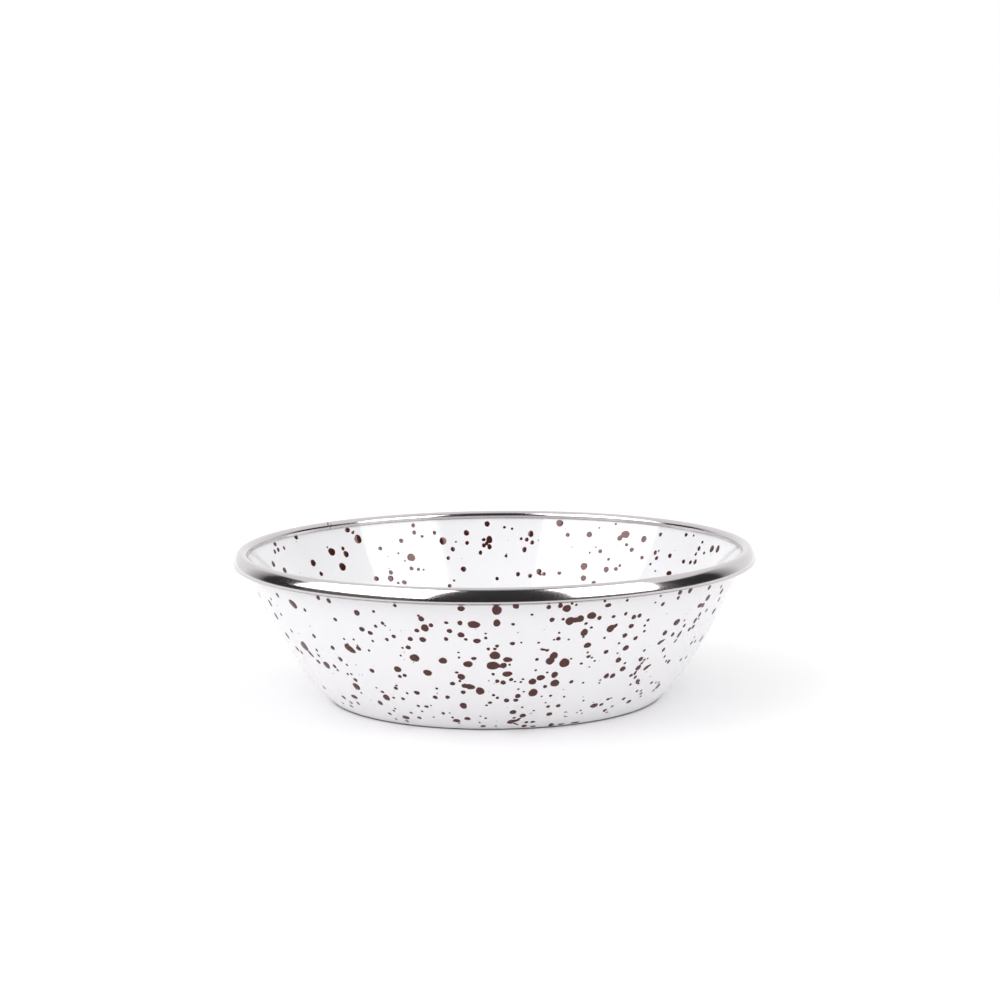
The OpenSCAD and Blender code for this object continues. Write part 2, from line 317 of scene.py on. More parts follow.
# Outside drops: azimuth from the front, height as a share of BOWL_H, width and height in mm
outside_drops = np.array((
    (-52, .79, 1.8, 1.6), (-31.5, .8, 2, 2), (-31.5, .69, 1.9, 1.7), (-29.5, .67, 1.8, 1.4),
    (-16, .79, 1.8, 1.8), (-15.5, .73, 2.4, 2.5), (-14, .75, 1.4, 1.4), (-17.5, .71, 1.5, 1.4),
    (-10.5, .77, 1.3, 1), (-7.5, .77, 1.5, 1.6), (-4.5, .76, 3.6, 2.5), (.5, .77, 2.1, 2.5),
    (.5, .855, 2.9, 3.1), (-7, .865, 2.1, 1.8), (-7.5, .69, 2, 1.9), (-11, .66, 1.3, 1.4),
    (-4, .65, 2.2, 1.7), (-23.5, .66, 1.4, 1.3), (-19.5, .65, 1.7, 1.5), (-16.5, .65, 2, 1.9),
    (-20.5, .59, 1.7, 1.4), (-19.5, .52, 3, 2.8), (-12.5, .51, 2.5, 2.3), (-6.5, .49, 2.8, 2.3),
    (-5, .53, 1.6, 1.2), (0, .55, 3.2, 2.8), (-.5, .48, 3.7, 3.1), (2, .48, 2, 2.1),
    (3, .52, 2.7, 1.9), (3, .42, 2.9, 2.1), (-37.5, .54, 2, 1.9), (-34.5, .55, 1.8, 1.6),
    (-50, .38, 3, 2.6), (-42.5, .45, 1.7, 1.7), (-33, .4, 1.8, 1.6), (-25, .43, 2.4, 2.3),
    (-23.5, .39, 1.4, 1.3), (-17, .42, 2.6, 2.4), (-8.5, .4, 2.3, 2.3), (-11, .35, 1.6, 1.5),
    (-8.5, .29, 1.5, 1.5), (-4, .3, 2.6, 2.9), (-41.5, .26, 2.6, 2.8), (-40.5, .31, 1.5, 1.5),
    (-27.5, .29, 1.4, 1.4), (-32, .21, 2.4, 2.6), (-35.5, .16, 1.8, 2), (-21.5, .27, 1.9, 1.6),
    (-9, .19, 2.2, 2.6), (-20, .17, 1.4, 1.2), (-29, .065, 2.4, 2), (-12, .07, 2.2, 1.9),
    (-8.5, .09, 1.9, 1.7), (.5, .37, 1.3, 1.4), (2, .36, 1.6, 1.7), (3, .23, 1.6, 1.7),
    (-45.5, .17, 2.8, 1.9), (12.5, .78, 1.5, 1.6), (11.5, .865, 1.4, 1.4), (14, .87, 1.5, 1.5),
    (15.5, .85, 2.5, 2.5), (16.6, .765, 2.6, 2.9), (18.9, .775, 2.5, 2.3), (21.5, .79, 2.9, 2.4),
    (23.5, .77, 1.4, 1.5), (20.5, .68, 2.3, 2.5), (27, .69, 2.5, 2.7), (25, .85, 2, 1.4),
    (27, .77, 1.3, 1.1), (32.5, .75, 1.7, 1.6), (32.5, .69, 1.9, 1.6), (31.5, .63, 1.7, 1.6),
    (33, .54, 2.1, 2), (27.5, .53, 1.6, 1.5), (22, .59, 2.3, 2), (14.5, .65, 1.5, 1.3),
    (4, .63, 1.5, 1.3), (17, .48, 3.1, 3.4), (15, .4, 2, 2.4), (15.5, .34, 2.7, 2.8),
    (11.5, .385, 2.5, 2.1), (9.5, .36, 2.4, 2.3), (10, .28, 2.7, 3.1), (4, .38, 1.3, 1.3),
    (6, .26, 1.7, 1.8), (5.5, .23, 1.5, 1.4), (5, .14, 2, 2), (8, .11, 1.9, 1.9),
    (15, .17, 1.2, 1.2), (18, .17, 1.5, 1.5), (16, .11, 1.8, 1.8), (30, .14, 2.6, 2.1),
    (32.5, .14, 1.4, 1.4), (44, .12, 2, 1.7), (32, .46, 2, 2), (34.5, .39, 2.2, 1.9),
    (32, .35, 1.8, 1.9), (39.5, .44, 1.8, 1.7), (42.5, .27, 1.7, 1.6), (44.5, .6, 2, 1.9),
    (47.5, .66, 2.8, 2.3), (57.5, .78, 2.4, 2.2), (55, .74, 2.9, 1.6), (66.5, .65, 2.6, 2.2),
    (52.5, .37, 1.8, 1.5), (12, .018, 1.8, .7), (21.5, .018, 2.2, .7), (26.5, .018, 3, .8)))

# Runs and tails outside: azimuth, height share, length and width in mm, lean in degrees, taper share
outside_runs = np.array((
    (17.8, .77, 3.2, 1.9, 0, 0), (1, .475, 2.8, 1.1, -14, .2), (14, .535, 2.8, 2.3, 80, 0),
    (13.3, .5, 2.8, 2.6, 10, 0), (13.6, .518, 2.4, 1.8, 70, 0), (-7.7, .335, 2.4, 1.8, -5, 0),
    (-6.5, .33, 2.7, 2.2, -12, 0), (5.5, .07, 3.6, 1.5, 10, .4), (7, .085, 1.7, .8, 35, .3),
    (4.2, .055, 1.8, .9, -25, 0), (6.2, .045, 2.6, .6, -35, .3), (11.5, .58, 2.6, .8, -14, .3),
    (12.2, .575, 1.2, 1, 0, 0), (-56.8, .485, 3.8, 3.6, 70, .2),
    (-55.4, .435, 2.9, 1.6, -52, .4), (51, .565, 2.8, 1.3, 72, .2), (50.6, .52, 1.6, .9, 60, 0),
    (44.5, .54, 3, 1.3, 25, .4), (43.5, .37, 3.2, 1.3, 30, .4), (40, .38, 2.2, 1.9, 60, .2),
    (39.7, .345, 2, 1, 80, .3), (40.6, .41, 1.5, .9, 60, .3), (28, .705, 1.9, 1.4, 40, .2),
    (42, .285, 1.4, .7, 40, .4), (43.2, .255, 1.5, .7, -35, .4), (-52, .79, 3.9, 2.5, -37, 0),
    (-37.4, .54, 4, 2.6, -38, 0)))

# Inside drops and runs, with the same columns
inside_drops = np.array((
    (-142, .86, 2.9, 3.1), (-139.5, .93, 2.1, 1.8), (-132.5, .8, 3, 2.8), (-137, .77, 2.2, 2.3),
    (-136.5, .81, 1.4, 1.5), (-134.5, .69, 2.9, 2.8), (-124.5, .75, 2.5, 2.4), (-126, .67, 1.7, 1.6),
    (-144.5, .58, 1.9, 1.8), (-149.5, .61, 1.6, 1.6), (-149, .57, 2.2, 2.1), (-156.5, .7, 2.9, 2.8),
    (-166, .8, 2.4, 2.8), (-154.5, .82, 1.5, 1.7), (-158.5, .92, 1.4, 1.5), (-148, .78, 1.4, 1.4),
    (-168.5, .74, 1.6, 1.7), (-167, .68, 1.3, 1.4), (-172.5, .85, 2, 2), (-172.5, .78, 1.4, 1.5),
    (-171, .6, 1.9, 2), (-178, .91, 1.9, 2), (-178.5, .8, 2.1, 2.8), (-178.5, .75, 1.6, 2),
    (-177, .76, 1.4, 1.6), (-176, .71, 1.3, 1.6), (-164, .86, 1.3, 1.5), (179.5, .53, 1.3, 1.3),
    (170.5, .84, 2, 2.3), (171.5, .8, 1.4, 1.5), (170, .78, 1.4, 1.6), (172, .73, 1.6, 2),
    (173.5, .56, 1.5, 1.6), (170, .55, 1.5, 1.5), (167.5, .58, 1.9, 2.1), (163, .92, 2.5, 2.5),
    (160.5, .84, 1.5, 1.5), (154.5, .85, 2, 2.1), (154.5, .63, 2.6, 2.5), (154, .55, 2.1, 2),
    (147.5, .62, 2, 2.1), (144, .87, 3.2, 2.6), (145.5, .84, 2, 1.8), (150.5, .74, 1.5, 1.5),
    (141, .77, 1.7, 1.6), (138, .85, 2.2, 2.3), (133, .77, 1.4, 1.7), (125.5, .65, 2.6, 1.9),
    (111, .87, 2.4, 2.5), (108, .88, 2.4, 2.6)))
inside_runs = np.array((
    (-141, .91, 1.6, 1, 40, .3), (-177.8, .775, 1.8, 1.2, 70, 0), (145, .855, 2, 1.3, 20, 0)))

# Smaller drops: azimuth, height share and the width of the dark middle in mm, which
# SMALL_GROWTH widens to the whole drop
small_outside = np.array((
    (-58, .825, 1.4), (-63.5, .775, 1), (-66, .735, 1.8), (-41.5, .87, 1.2), (-38.5, .86, 1.3),
    (-48, .765, 1), (-38.5, .735, 1.1), (-66.5, .645, 1.8), (-61.5, .68, 1.1), (-60, .575, 1),
    (-66, .515, 1.8), (-49, .585, 1.2), (-63.5, .435, 1.6), (-61.5, .42, 1.3), (-51, .48, 1),
    (-51.5, .44, .9), (-53.5, .39, 1.5), (-43.5, .525, 1.4), (-38, .605, .7), (-35, .61, .7),
    (-37.5, .57, .7), (-34.5, .57, .6), (-31.5, .545, .7), (-41, .415, .7), (-46.5, .385, 1.1),
    (-46, .36, .8), (-41, .35, .8), (-42.5, .345, .8), (-41, .215, .7), (-52, .14, 1.4),
    (-50, .11, 1.1), (-46, .12, 1), (-52, .075, 1.2), (-57, .075, 1), (-62, .17, 1.3),
    (-21.5, .87, .9), (-27, .82, .8), (-16.5, .81, .7), (-25.5, .745, .9), (-25, .73, .5),
    (-27.5, .72, .9), (-25.5, .635, 1), (-29.5, .615, .7), (-10, .715, 1.2), (-6.5, .66, .9),
    (-22, .585, .6), (-23, .53, .6), (-8.5, .57, .6), (-8.5, .535, .6), (-25, .38, 1), (-9.5, .43, .9),
    (-9, .37, .7), (-34, .275, .6), (-32.5, .25, 1), (-27, .31, .7), (-29.5, .215, .8),
    (-26.5, .215, 1), (-24.5, .26, .7), (-15.5, .31, .7), (-16.5, .245, 1.2), (-13, .25, 1.1),
    (-22.5, .17, .8), (-18.5, .18, .5), (-31, .13, .7), (-32, .11, .7), (-34.5, .08, 1.1),
    (-26, .11, .8), (-22, .13, .6), (-15.5, .125, .9), (-24, .075, 1.1), (-19, .09, .6),
    (-13, .095, .7), (-13.5, .13, .5), (-29.5, .035, .9), (-33.5, .04, .7), (-11.5, .05, .6),
    (4.5, .88, 1.4), (8, .82, .7), (4, .76, .9), (-2, .7, .6), (-2, .67, .8), (.5, .615, .9),
    (-1.5, .595, .8), (0, .595, .8), (6, .635, .5), (10, .63, .7), (10, .515, .9), (13.5, .645, .6),
    (14.5, .69, .6), (15, .78, .8), (16.5, .88, .7), (17.5, .87, .6), (17, .64, .6), (20.5, .74, .9),
    (22, .71, .8), (20.5, .65, .6), (22.5, .54, .6), (23, .51, 1.1), (24, .5, .6), (25, .475, .6),
    (21.5, .465, .8), (18.5, .505, .6), (24, .435, .5), (3.5, .485, .6), (-.5, .42, .8), (10, .44, .6),
    (13, .42, .6), (7, .38, .7), (6.5, .36, .7), (5, .365, .6), (13, .32, 1), (6, .31, .6),
    (7.5, .29, .6), (15, .25, .8), (12.5, .25, .5), (-.5, .27, .8), (.5, .25, .8), (20, .34, 1),
    (23.5, .325, .6), (-1.5, .215, 1), (-2.5, .195, .7), (7.5, .175, .6), (11, .145, .6), (14, .2, .5),
    (19, .235, .6), (25.5, .19, .6), (26, .115, .6), (25, .1, .5), (27, .09, .5), (21, .115, .6),
    (21.5, .08, .6), (-4.5, .11, .5), (-3, .095, .7), (-5, .06, .5), (-4, .03, 1.2), (0, .03, .6),
    (5.5, .095, .8), (9.5, .055, .9), (11.5, .055, 1.1), (9, .025, 1.2), (18, .02, 1.3), (24, .88, .7),
    (29.5, .87, .8), (30, .78, .9), (34, .755, 1.2), (37.5, .83, .6), (38.5, .87, .7), (40, .81, 1.1),
    (44.5, .87, 1.4), (44.5, .835, 1), (48, .87, 1.5), (37, .715, .9), (36.5, .68, .8), (37, .64, .8),
    (35, .6, 1.2), (26, .63, .7), (30.5, .58, .7), (31, .51, .6), (39.5, .5, .8), (34.5, .43, .7),
    (41, .43, .8), (42, .435, .6), (49, .42, .8), (51, .38, .8), (30, .355, 1.4), (38.5, .33, 1.1),
    (40.5, .31, 1), (40, .26, .8), (28.5, .31, .6), (28.5, .33, .6), (49.5, .235, 1), (52, .225, .7),
    (54, .215, .8), (55, .185, 1.6), (54, .16, 1), (44.5, .195, .9), (46.5, .19, .7), (47.5, .165, 1),
    (48.5, .14, .7), (34, .175, 1.1), (35, .18, .6), (40.5, .155, 1.1), (35.5, .085, 1.1),
    (37, .065, .7), (37.5, .11, .8), (56, .855, 1.3), (63, .83, 1), (65, .79, 1.8), (56.5, .735, 1.3),
    (60, .685, 1.1), (57, .67, 1.2), (56, .635, 1.4), (57.5, .64, .7), (56.5, .59, 1.4), (55, .58, 1.2),
    (51.5, .62, 1), (50.5, .66, .7), (48, .575, 1.2), (47, .475, 1.1), (61, .46, 1.2), (63.5, .46, 1),
    (69, .45, 1.8), (61, .5, .7), (60, .35, 1.1), (63.5, .35, 1), (66, .73, 1.2)))
small_inside = np.array((
    (-131.5, .835, .6), (-111.5, .93, 1.5), (-112, .89, 1.3), (-110, .885, 1.2), (-115, .89, 1),
    (-121.5, .94, 1.4), (-106.5, .815, 1.7), (-111, .75, 1.7), (-153, .735, .7), (-154.5, .68, .5),
    (-156, .625, 1.1), (-158, .615, .9), (-159.5, .61, .6), (-153, .535, 1.4), (-151, .535, .8),
    (-158.5, .87, 1.1), (-160.5, .84, .9), (-177, .8, 1.1), (-169.5, .79, .6), (-168, .525, .7),
    (-166.5, .49, 1.1), (177.5, .885, .8), (175.5, .875, .7), (173, .805, .8), (177, .685, .8),
    (166, .565, 1.1), (167, .56, .8), (161.5, .575, 1.1), (150.5, .525, 1.3), (153.5, .725, .6),
    (152, .765, .5), (152, .9, .5), (147.5, .935, .7), (143, .8, 1.1), (147.5, .69, .9),
    (144.5, .63, 1.2), (143.5, .655, .9), (137, .725, 1.1), (132, .735, 1.1), (132, .785, .6),
    (133.5, .69, .8), (131, .65, .6), (133, .895, 1.1), (127.5, .765, 1.3), (124, .92, 1.2),
    (121, .925, .7), (121.5, .745, 1.3), (118.5, .75, 1.3), (116.5, .76, 1.3), (117.5, .81, 1),
    (114, .83, 1), (117, .85, 1.3), (116.5, .895, 1)))


def scatter(i, use):
    """A repeatable number from 0 to 1 for a drop and a use: the fraction of a large multiple of a sine."""
    v = np.sin(np.radians(i * SCATTER_ANGLE + use * SCATTER_USE_ANGLE)) * SCATTER_RATIO
    return v - np.floor(v)


def between(limits, share):
    """The value at a share of the way from the first limit to the second."""
    return limits[0] + (limits[1] - limits[0]) * share


def scattered_size(i):
    """A drop's diameter: mostly small, by the square of the scatter."""
    return DROP_D * between((LEAST_DROP_SHARE, 1), scatter(i, 3) ** 2)


def small_drops(rows):
    """Rows of azimuth, height share and size, with the height of each drop a little off its width."""
    i = np.arange(1, len(rows) + 1)
    size = SMALL_GROWTH * rows[:, 2]
    return np.column_stack((rows[:, :2], size, size * between(SMALL_TALLNESS, scatter(i, 5))))


def scattered_drops(azimuths, height_shares, columns, rows):
    """Drops on a loose grid over a sector, each strayed from its place by up to a share of a cell."""
    i = np.arange(1, rows * columns + 1)
    column = (i - 1) % columns + 0.5 + STRAY_SHARE * (scatter(i, 1) - 0.5)
    row = (i - 1) // columns + 0.5 + STRAY_SHARE * (scatter(i, 2) - 0.5)
    size = scattered_size(i)
    return np.column_stack((between(azimuths, column / columns), between(height_shares, row / rows),
                            size, size * between(SCATTERED_TALLNESS, scatter(i, 4))))


def specks(seed, count, azimuths, height_shares, sizes, gather=0):
    """Fine specks over a sector, mostly small, by the square of an even draw. With gather, the mean of
    two even draws crowds them towards the middle of the sector."""
    draw = np.random.default_rng(seed).random((count, SPECK_DRAWS))
    spread = (1 - gather) * draw[:, 0] + gather * (draw[:, 0] + draw[:, 1]) / 2
    size = between(sizes, draw[:, 3] ** 2)
    return np.column_stack((between(azimuths, spread), between(height_shares, draw[:, 2]),
                            size, size * between(SPECK_TALLNESS, draw[:, 4])))


def on_floor(turn, reach, area_share, sizes):
    """Rows of a place in the plan, a width and a height: the radius is the root of a share of the area."""
    radius = reach * np.sqrt(area_share)
    return np.column_stack((radius * np.cos(np.radians(turn)), radius * np.sin(np.radians(turn)), sizes))


def drop_outlines(drops, seed, detail, waviness):
    """Drops as (drop, ring, corner) offsets across and up the wall. An ellipse narrowed towards one
    end by its taper, with a few low waves round its edge, is turned by the lean and shrunk ring by
    ring. Rows that stop after the height have no lean and no taper."""
    ring_shares, corners = detail
    rows = np.pad(drops, ((0, 0), (0, DROP_COLUMNS - drops.shape[1])))
    length, width, lean, taper = rows.T[2:, :, None]
    draw = np.random.default_rng(seed).random((len(drops), 3)) * 2 * np.pi
    angle = np.linspace(0, 2 * np.pi, corners, endpoint=False)
    wave = 1 + waviness * (np.sin(2 * angle + draw[:, :1]) + np.sin(3 * angle + draw[:, 1:2])
                           + FINE_WAVE_SHARE * np.sin(5 * angle + draw[:, 2:]))
    x = length / 2 * wave * np.cos(angle)
    y = width / 2 * wave * np.sin(angle) * (1 - taper * np.cos(angle))
    turn = np.radians(lean)
    across = (x * np.cos(turn) - y * np.sin(turn))[:, None, :] * ring_shares[:, None]
    up = (x * np.sin(turn) + y * np.cos(turn))[:, None, :] * ring_shares[:, None]
    return across, up


def drop_lifts(drops, ring_shares):
    """Height of each ring of a drop over the coat: a low dome, the root of one less the square of its
    share of the way out, and last a ring under the edge, sunk into the coat. A drop under the full
    size is thinner by its size, which is the root of its width times its height."""
    size = np.sqrt(drops[:, 2] * drops[:, 3])
    thickness = DROP_T * np.clip(size / FULL_DROP_D, LEAST_T_SHARE, 1)
    lift = thickness[:, None] * np.sqrt(1 - ring_shares ** 2)
    lift[:, -1] = -SINK_T
    return lift[:, :, None]


def distance_along(line):
    """Distance from a line's first point to each of its points: the running sum of its steps."""
    return np.concatenate(((0,), np.cumsum(np.linalg.norm(np.diff(line, axis=0), axis=1))))


def wall_drops(drops, depth, seed, detail, waviness):
    """Drops laid on the wall's face at a depth, and their ring shares: offsets across turn round the
    axis, offsets up follow the section's length, and the lift goes out from the face."""
    face = wall_line(depth)[RING_START:-FOLD_STEPS - LIP_STEPS]
    length = distance_along(face)
    lean = np.unwrap(np.arctan2(np.gradient(face[:, 1]), np.gradient(face[:, 0])))
    # The inner face looks the other way
    side = -1 if depth else 1
    ring_shares = detail[0]
    across, up = drop_outlines(drops, seed, detail, waviness)
    lift = side * drop_lifts(drops, ring_shares)
    start = np.interp(drops[:, 1] * BOWL_H, face[:, 1], length)[:, None, None]
    at = start + up
    slope = np.degrees(np.interp(at, length, lean))
    radius = np.interp(at, length, face[:, 0])
    azimuth = drops[:, :1, None] + side * np.degrees(across / np.interp(start, length, face[:, 0]))
    points = turned(radius + lift * outward(slope)[..., 0],
                    np.interp(at, length, face[:, 1]) + lift * outward(slope)[..., 1], azimuth)
    return points, ring_shares


def floor_drops(drops, seed, detail, waviness):
    """Drops laid on the floor of the bowl at places in the plan, lifted from the inner face, and their
    ring shares."""
    face = wall_line(WALL_T)[:RING_START + 1]
    ring_shares = detail[0]
    across, up = drop_outlines(drops, seed, detail, waviness)
    x = drops[:, 0, None, None] + across
    y = drops[:, 1, None, None] + up
    level = np.interp(np.hypot(x, y), face[:, 0], face[:, 1])
    return np.stack((x, y, level + drop_lifts(drops, ring_shares)), axis=-1), ring_shares


def splatter(name, groups, material):
    """Joins groups of drops, each with its ring shares, into one piece with an edge_share attribute,
    which is nought in the middle of a drop and one at its edge."""
    points, quads, triangles, edge = [], [], [], []
    total = 0
    for group, ring_shares in groups:
        drops, _, corners, _ = group.shape
        p, q, t = ringed_faces(group)
        points.append(p)
        quads.append(q + total)
        triangles.append(t + total)
        edge.append(np.tile(np.concatenate((np.repeat(ring_shares, corners), (0, 1))), drops))
        total += len(p)
    piece = closed_piece(name, np.vstack(points), np.vstack(quads), np.vstack(triangles), material)
    share = piece.data.attributes.new("edge_share", "FLOAT", "POINT")
    share.data.foreach_set("value", np.concatenate(edge).astype(np.float32))
    return piece


# Brown manganese enamel: almost black-brown and glassy where it lies thick, turning to a warm
# reddish brown at the thin edge of a drop
DROP_CLOUD_MM = 1.2
brown_enamel, tree, shader = new_material("brown_manganese_enamel", {
    "IOR": ENAMEL_IOR, "Roughness": 0.09, "Specular IOR Level": 0.68, "Specular Tint": linear("FFDFDE")})
place = add_node(tree, "ShaderNodeTexCoord")
edge = add_node(tree, "ShaderNodeAttribute", {"attribute_name": "edge_share"})
cloud = add_node(tree, "ShaderNodeTexNoise", {"Scale": 1 / (DROP_CLOUD_MM * MM)},
                 {"Vector": place.outputs["Object"]})
thick = add_node(tree, "ShaderNodeMix", {"data_type": "RGBA", 6: linear("3A1A16"), 7: linear("462320")},
                 {"Factor": cloud.outputs["Fac"]})
SMOOTH = {"interpolation_type": "SMOOTHSTEP"}
thin = add_node(tree, "ShaderNodeMapRange", {**SMOOTH, "From Min": 0.8},
                {"Value": edge.outputs["Fac"]})
brown = add_node(tree, "ShaderNodeMix", {"data_type": "RGBA", 7: linear("74463B")},
                 {"Factor": thin.outputs["Result"], 6: thick.outputs[2]})
join(tree, shader, {"Base Color": brown.outputs[2]})

# How finely drops are made: their rings from the tip out, as shares of the way to the edge, and corners
BOLD = (np.array((.3, .6, .82, .94, .99, 1)), 20)
PLAIN = (np.array((.55, .85, .985, 1)), 14)
SPECK = (np.array((.7, .98, 1)), 8)
back_drops = scattered_drops((80, 290), (0.1, 0.84), columns=14, rows=5)
front_drops = scattered_drops((-102, 104), (0.14, 0.88), columns=12, rows=4)
floor_i = np.arange(1, FLOOR_DROPS + 1)
floor_size = scattered_size(floor_i)
floor_large = on_floor(floor_i * GOLDEN_ANGLE, (PANEL_D - DROP_D) / 2, (floor_i - 0.5) / FLOOR_DROPS,
                       np.column_stack((floor_size, floor_size)))
# Specks by seed, count, range of azimuths, range of height shares and range of sizes in mm
floor_rows = specks(7, 60, (0, 360), (0, 1), (0.4, 1.3))
floor_fine = on_floor(floor_rows[:, 0], PANEL_D / 2, floor_rows[:, 1], floor_rows[:, 2:])
fine_outside = np.vstack((
    specks(1, 60, (-88, 88), (0.05, 0.86), (0.25, 0.5), gather=0.7),
    specks(2, 190, (88, 272), (0.05, 0.86), (0.3, 1.3))))
fine_inside = np.vstack((
    specks(3, 20, (96, 264), (0.42, 0.93), (0.25, 0.5)),
    specks(4, 90, (-96, 96), (0.1, 0.93), (0.3, 1.2)),
    specks(8, 70, (96, 264), (0.1, 0.38), (0.4, 1.5))))

splatter_outside = splatter("splatter_outside", (
    wall_drops(outside_drops, 0, seed=11, detail=BOLD, waviness=0.035),
    wall_drops(outside_runs, 0, seed=12, detail=BOLD, waviness=0.05),
    wall_drops(small_drops(small_outside), 0, seed=15, detail=PLAIN, waviness=0.05),
    wall_drops(back_drops, 0, seed=13, detail=PLAIN, waviness=0.04),
    wall_drops(fine_outside, 0, seed=14, detail=SPECK, waviness=0.06)), brown_enamel)
splatter_inside = splatter("splatter_inside", (
    wall_drops(inside_drops, WALL_T, seed=21, detail=BOLD, waviness=0.035),
    wall_drops(inside_runs, WALL_T, seed=22, detail=BOLD, waviness=0.05),
    wall_drops(small_drops(small_inside), WALL_T, seed=27, detail=PLAIN, waviness=0.05),
    wall_drops(front_drops, WALL_T, seed=23, detail=PLAIN, waviness=0.04),
    wall_drops(fine_inside, WALL_T, seed=24, detail=SPECK, waviness=0.06),
    floor_drops(floor_large, seed=25, detail=PLAIN, waviness=0.04),
    floor_drops(floor_fine, seed=26, detail=SPECK, waviness=0.06)), brown_enamel)
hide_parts("brown_drops_outside")
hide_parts("brown_drops_inside")
for piece in (splatter_outside, splatter_inside):
    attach(piece, "root")

# The rim band: a strip of stainless steel rolled over the bowl's lip and hemmed under it, which
# covers the raw edge. Its two ends meet in a fine slit at the back left.
BAND_LEG = 1.2
SHOULDER = np.array((1.9, 1.45))
HEM_FALL_ANGLE = 15.0
HEM_GAP = 0.1
SEAM_AZIMUTH = 226.0
SEAM_GAP = 0.2
SHARP_ANGLE = 40.0
BAND_SEGMENTS = 320
LEG_STEPS = 5
SHOULDER_STEPS = 16
CROWN_STEPS = 14
SIDE_STEPS = 16
HEM_STEPS = 14
UNDER_STEPS = 3
EDGE_STEPS = 6
leg_start = wall_end - np.degrees(BAND_LEG / (WALL_R - BAND_FACE_T))
leg_foot = wall_c + (WALL_R - BAND_FACE_T) * outward(leg_start)
shoulder_c = np.array((leg_foot[0] + SHOULDER[0], BOWL_H - SHOULDER[1]))


def face_radius(height):
    """Radius of the wall's outer face at a height on its upper arc, from the arc's circle."""
    return wall_c[0] + np.sqrt(WALL_R ** 2 - (wall_c[1] - height) ** 2)


def under_height(depth, radius):
    """Height of the hem's straight underside at a radius, falling towards the wall."""
    start = hem_c - (HEM_R - BAND_FACE_T + depth) * outward(HEM_FALL_ANGLE - 180)
    return start[1] - (start[0] - radius) * np.tan(np.radians(HEM_FALL_ANGLE))


def outer_half(depth):
    """The strip's section at a depth from the end of its crown: bowed side, hem and underside."""
    side = arc(side_c, -(SIDE_R - BAND_FACE_T + depth), -lip_start, -lip_end, SIDE_STEPS)[1:]
    hem = arc(hem_c, -(HEM_R - BAND_FACE_T + depth), -lip_end, HEM_FALL_ANGLE - 180, HEM_STEPS)[1:]
    end_r = face_radius(under_height(WALL_T, face_radius(hem_c[1] - HEM_R))) + HEM_GAP
    under = np.linspace(hem[-1], (end_r, under_height(depth, end_r)), UNDER_STEPS + 1)[1:]
    return np.vstack((side, hem, under))


def band_loop():
    """The closed section: the bright face with an upright leg and a quarter ellipse for its shoulder,
    the seat that lies on the coat, and a half-round edge on the leg."""
    leg = np.linspace(leg_foot, (leg_foot[0], shoulder_c[1]), LEG_STEPS + 1)
    shoulder = shoulder_c - SHOULDER * outward(np.linspace(90, 0, SHOULDER_STEPS + 1))[1:]
    crown = arc(fold_c, -CROWN_R, 0, -lip_start, CROWN_STEPS)
    face = np.vstack((leg, shoulder, crown, outer_half(BAND_FACE_T)))
    seat_leg = arc(wall_c, WALL_R - WALL_T, leg_start, wall_end, LEG_STEPS)
    seat_crown = arc(fold_c, -(LIP_BEND_R + WALL_T), wall_end, -lip_start,
                     SHOULDER_STEPS + CROWN_STEPS + 1)[1:]
    seat = np.vstack((seat_leg, seat_crown, outer_half(WALL_T)))
    middle, across = (face[0] + seat[0]) / 2, (face[0] - seat[0]) / 2
    down = np.array((across[1], -across[0])) * (1 if across[0] < 0 else -1)
    turn = np.radians(np.linspace(0, 180, EDGE_STEPS + 1))[1:-1, None]
    edge = middle - across * np.cos(turn) + down * np.sin(turn)
    return face, seat, edge


face, seat, edge = band_loop()
loop = np.vstack((face, seat[::-1], edge))
across_mm = distance_along(loop)
# The painted shade starts about a third of the way round the hem
dull_from_mm = across_mm[len(face) - UNDER_STEPS - HEM_STEPS * 2 // 3]

# Polished stainless: a bright, slightly warm mirror with fine lines drawn along the strip by the
# rolling and buffing, which soften its reflections. The hem's underside is painted a darker grey,
# as painted shade for the dark line where the rim meets the wall.
BUFF_LINE_MM = 0.22
BUFF_LENGTH_MM = 14.0
BUFF_DEPTH_MM = 0.0007
DULLING_MM = 0.25
stainless, tree, shader = new_material("polished_stainless_steel", {"Metallic": 1.0})
strip = add_node(tree, "ShaderNodeUVMap", {"uv_map": "strip"})
drawn = add_node(tree, "ShaderNodeMapping", {"Scale": (1 / BUFF_LENGTH_MM, 1 / BUFF_LINE_MM, 1.0)},
                 {"Vector": strip.outputs["UV"]})
lines = add_node(tree, "ShaderNodeTexNoise", {"Scale": 1.0, "Detail": 3.0},
                 {"Vector": drawn.outputs["Vector"]})
bright = add_node(tree, "ShaderNodeMix", {"data_type": "RGBA", 6: linear("CFCBCC"), 7: linear("BFBABB")},
                  {"Factor": lines.outputs["Fac"]})
across = add_node(tree, "ShaderNodeSeparateXYZ", links={"Vector": strip.outputs["UV"]})
turned_in = add_node(tree, "ShaderNodeMapRange",
                     {"From Min": dull_from_mm, "From Max": dull_from_mm + DULLING_MM},
                     {"Value": across.outputs["Y"]})
# Painted shade: the hem's underside turns dark grey here, standing in for shade under the rim
steel = add_node(tree, "ShaderNodeMix", {"data_type": "RGBA", 7: linear("756D69")},
                 {"Factor": turned_in.outputs["Result"], 6: bright.outputs[2]})
buffed = add_node(tree, "ShaderNodeMapRange", {"To Min": 0.1, "To Max": 0.15},
                  {"Value": lines.outputs["Fac"]})
relief = add_node(tree, "ShaderNodeBump", {"Distance": BUFF_DEPTH_MM * MM},
                  {"Height": lines.outputs["Fac"]})
join(tree, shader, {"Base Color": steel.outputs[2], "Roughness": buffed.outputs["Result"],
                    "Normal": relief.outputs["Normal"]})

